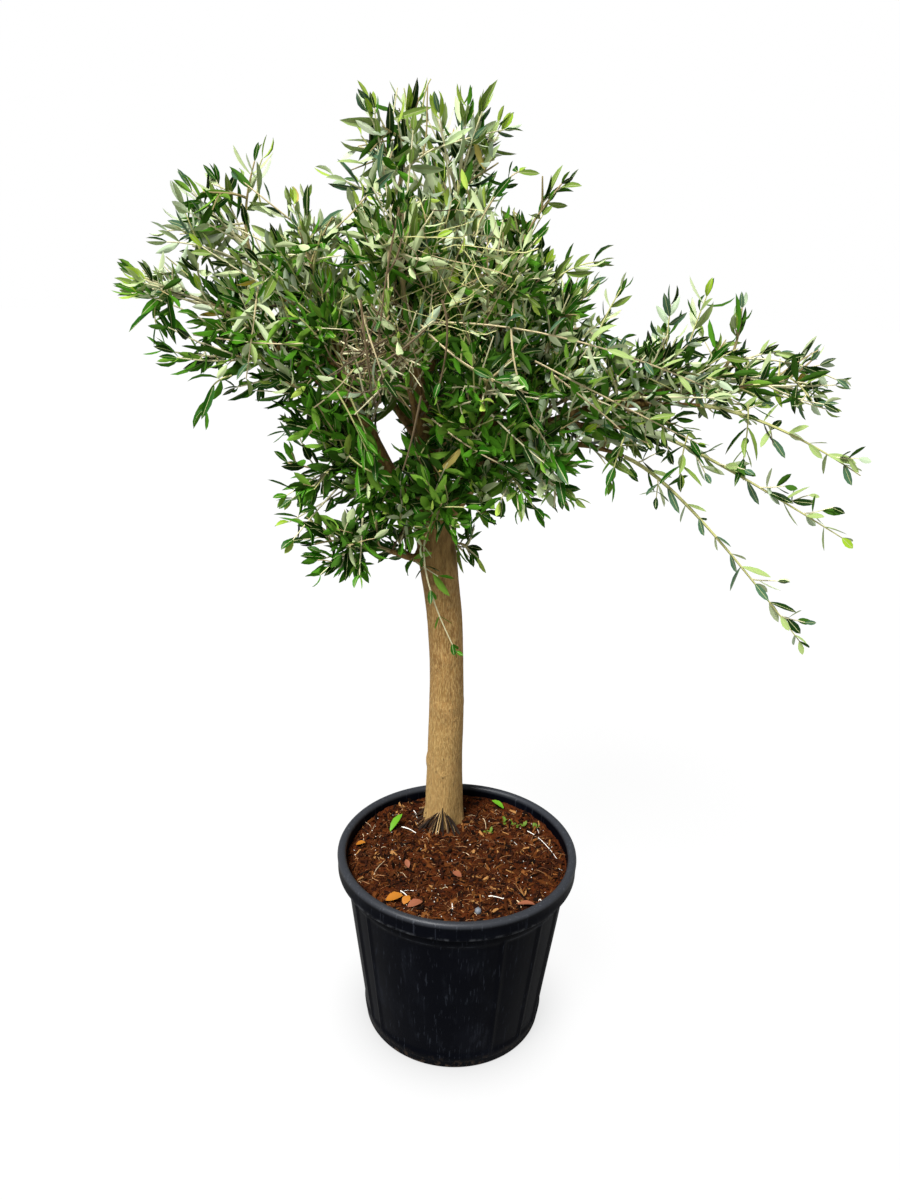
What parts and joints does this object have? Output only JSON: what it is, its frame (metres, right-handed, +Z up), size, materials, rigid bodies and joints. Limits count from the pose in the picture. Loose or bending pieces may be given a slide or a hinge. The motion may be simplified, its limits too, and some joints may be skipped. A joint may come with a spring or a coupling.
{
  "type": "potted olive tree",
  "caption": "Half-standard olive tree with an open, lopsided crown and long drooping shoots, in a round black nursery pot of bark compost.",
  "frame": {"origin": "middle of the pot's flat underside, at ground level", "axes": "+Z up from the pot's underside through its rim; +X to the side where the long shoots droop; +Y to the back, where the trunk stands off the pot's middle"},
  "size_m": [1.3783, 0.8586, 1.8667],
  "materials": {
    "pot": "satin black, dusty and scuffed",
    "soil": "rough red-brown bark compost",
    "bark": "tan bark with fine upright streaks",
    "foliage": "leathery, grey-green above and silvery below"
  },
  "bodies": {
    "root": {"bough_back": "bark", "bough_back_left": "bark", "bough_back_right": "bark", "bough_back_top": "bark", "bough_centre": "bark", "bough_front": "bark", "bough_left": "bark", "bough_left_low": "bark", "bough_left_peak": "bark", "bough_left_tip": "bark", "bough_low_left": "bark", "bough_low_left_foot": "bark", "bough_low_right": "bark", "bough_right": "bark", "bough_right_end": "bark", "bough_right_far": "bark", "bough_right_front": "bark", "bough_right_high": "bark", "bough_right_outer": "bark", "bough_right_peak": "bark", "bough_right_shoulder": "bark", "bough_shoot_high": "bark", "bough_shoot_low": "bark", "bough_shoot_middle": "bark", "bough_top_left": "bark", "bough_top_right": "bark", "foliage_back": "foliage", "foliage_back_left": "foliage", "foliage_back_low": "foliage", "foliage_back_right": "foliage", "foliage_back_top": "foliage", "foliage_centre": "foliage", "foliage_front": "foliage", "foliage_hanging_shoot": "foliage", "foliage_left": "foliage", "foliage_left_low": "foliage", "foliage_left_peak": "foliage", "foliage_left_tip": "foliage", "foliage_low_centre": "foliage", "foliage_low_left": "foliage", "foliage_low_left_foot": "foliage", "foliage_low_right": "foliage", "foliage_right": "foliage", "foliage_right_end": "foliage", "foliage_right_far": "foliage", "foliage_right_front": "foliage", "foliage_right_high": "foliage", "foliage_right_outer": "foliage", "foliage_right_peak": "foliage", "foliage_right_shoulder": "foliage", "foliage_shoot_high": "foliage", "foliage_shoot_low": "foliage", "foliage_shoot_middle": "foliage", "foliage_top_left": "foliage", "foliage_top_right": "foliage", "foliage_trunk_sprig": "foliage", "pot": "pot", "soil": "soil", "trunk": "bark"}
  },
  "joints": []
}
